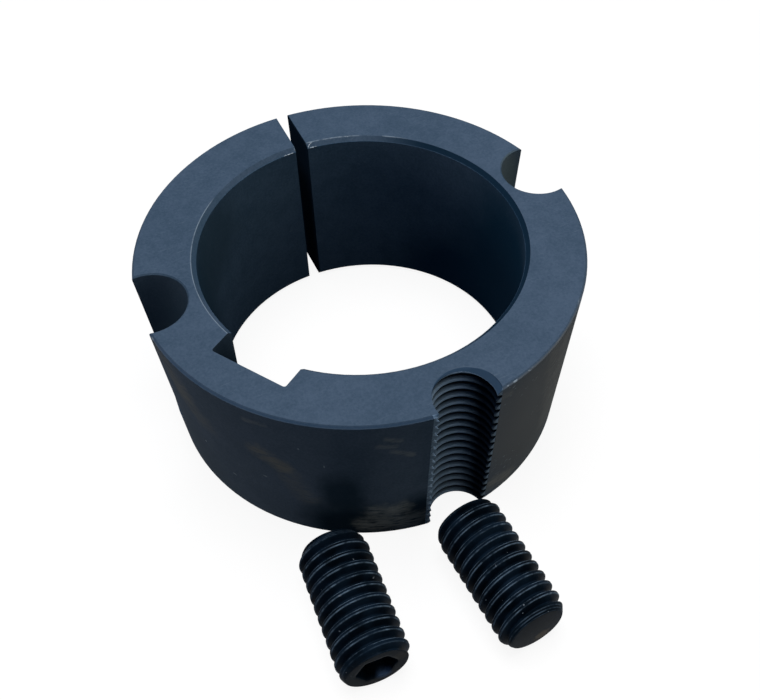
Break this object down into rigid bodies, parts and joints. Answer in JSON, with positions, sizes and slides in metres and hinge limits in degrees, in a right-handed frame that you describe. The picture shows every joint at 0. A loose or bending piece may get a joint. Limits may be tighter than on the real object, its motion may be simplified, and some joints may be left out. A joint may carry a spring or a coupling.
{
  "type": "taper bush",
  "caption": "Split taper bush with a keyed straight bore, screw half-holes round its rim and its loose grub screws.",
  "frame": {"origin": "bore axis at the small end face, which is the floor that the bush stands on", "axes": "+Z along the bore towards the large end; +Y is opposite the tapped half-hole, about where the bush is split"},
  "size_m": [0.0696, 0.0923, 0.0318],
  "materials": {
    "phosphated_iron": "dark blue-grey phosphate on machined cast iron, matt with a fine grain",
    "blackened_steel": "black oxide on rolled steel thread, slightly oily"
  },
  "bodies": {
    "root": {"taper_bush": "phosphated_iron", "grub_screw_socket_out": "blackened_steel", "grub_screw_point_out": "blackened_steel"}
  },
  "joints": []
}
